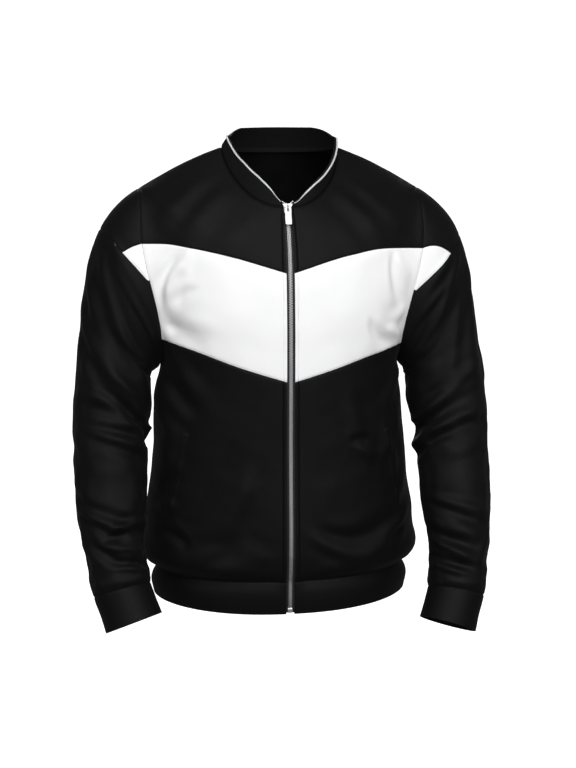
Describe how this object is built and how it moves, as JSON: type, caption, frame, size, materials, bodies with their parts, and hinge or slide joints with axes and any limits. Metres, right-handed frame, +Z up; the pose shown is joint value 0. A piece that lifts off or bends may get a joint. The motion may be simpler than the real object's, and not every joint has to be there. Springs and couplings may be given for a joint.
{
  "type": "bomber jacket",
  "caption": "Zip-front bomber jacket in black knit with a white chest band, stand collar, cuffs and hem band, filled out as worn.",
  "frame": {"origin": "middle of the neck opening, level with the neck ends of the shoulder seams, where the wearer holds the jacket up", "axes": "+Z up, +X towards the wearer's left, -Y is the front"},
  "size_m": [0.6341, 0.3092, 0.7539],
  "materials": {
    "knit_black": "smooth double knit with a soft sheen",
    "knit_white": "smooth double knit, matt",
    "piping_grey": "satin piping",
    "zip_tape": "woven tape",
    "zip_metal": "satin metal"
  },
  "bodies": {
    "jacket": {"back": "knit_black", "front_body_left": "knit_black", "front_body_right": "knit_black", "front_yoke_left": "knit_black", "front_yoke_right": "knit_black", "sleeve_left": "knit_black", "sleeve_right": "knit_black", "sleeve_cap_left": "knit_black", "sleeve_cap_right": "knit_black", "cuff_left": "knit_black", "cuff_right": "knit_black", "hem_band": "knit_black", "collar": "knit_black", "pocket_welt_left": "knit_black", "pocket_welt_right": "knit_black", "front_band_left": "knit_white", "front_band_right": "knit_white", "sleeve_wedge_left": "knit_white", "sleeve_wedge_right": "knit_white", "collar_piping": "piping_grey", "zip_tape_left": "zip_tape", "zip_tape_right": "zip_tape", "zip_chain": "zip_metal", "zip_box": "zip_metal", "zip_slider": "zip_metal"},
    "pull_tab": {"pull_tab": "zip_metal"}
  },
  "joints": [
    {"name": "tab_swing", "type": "hinge", "parent": "jacket", "child": "pull_tab", "pos_m": [0, -0.09526, -0.08594], "axis": [-1, 0, 0], "range_deg": [0, 150]}
  ]
}
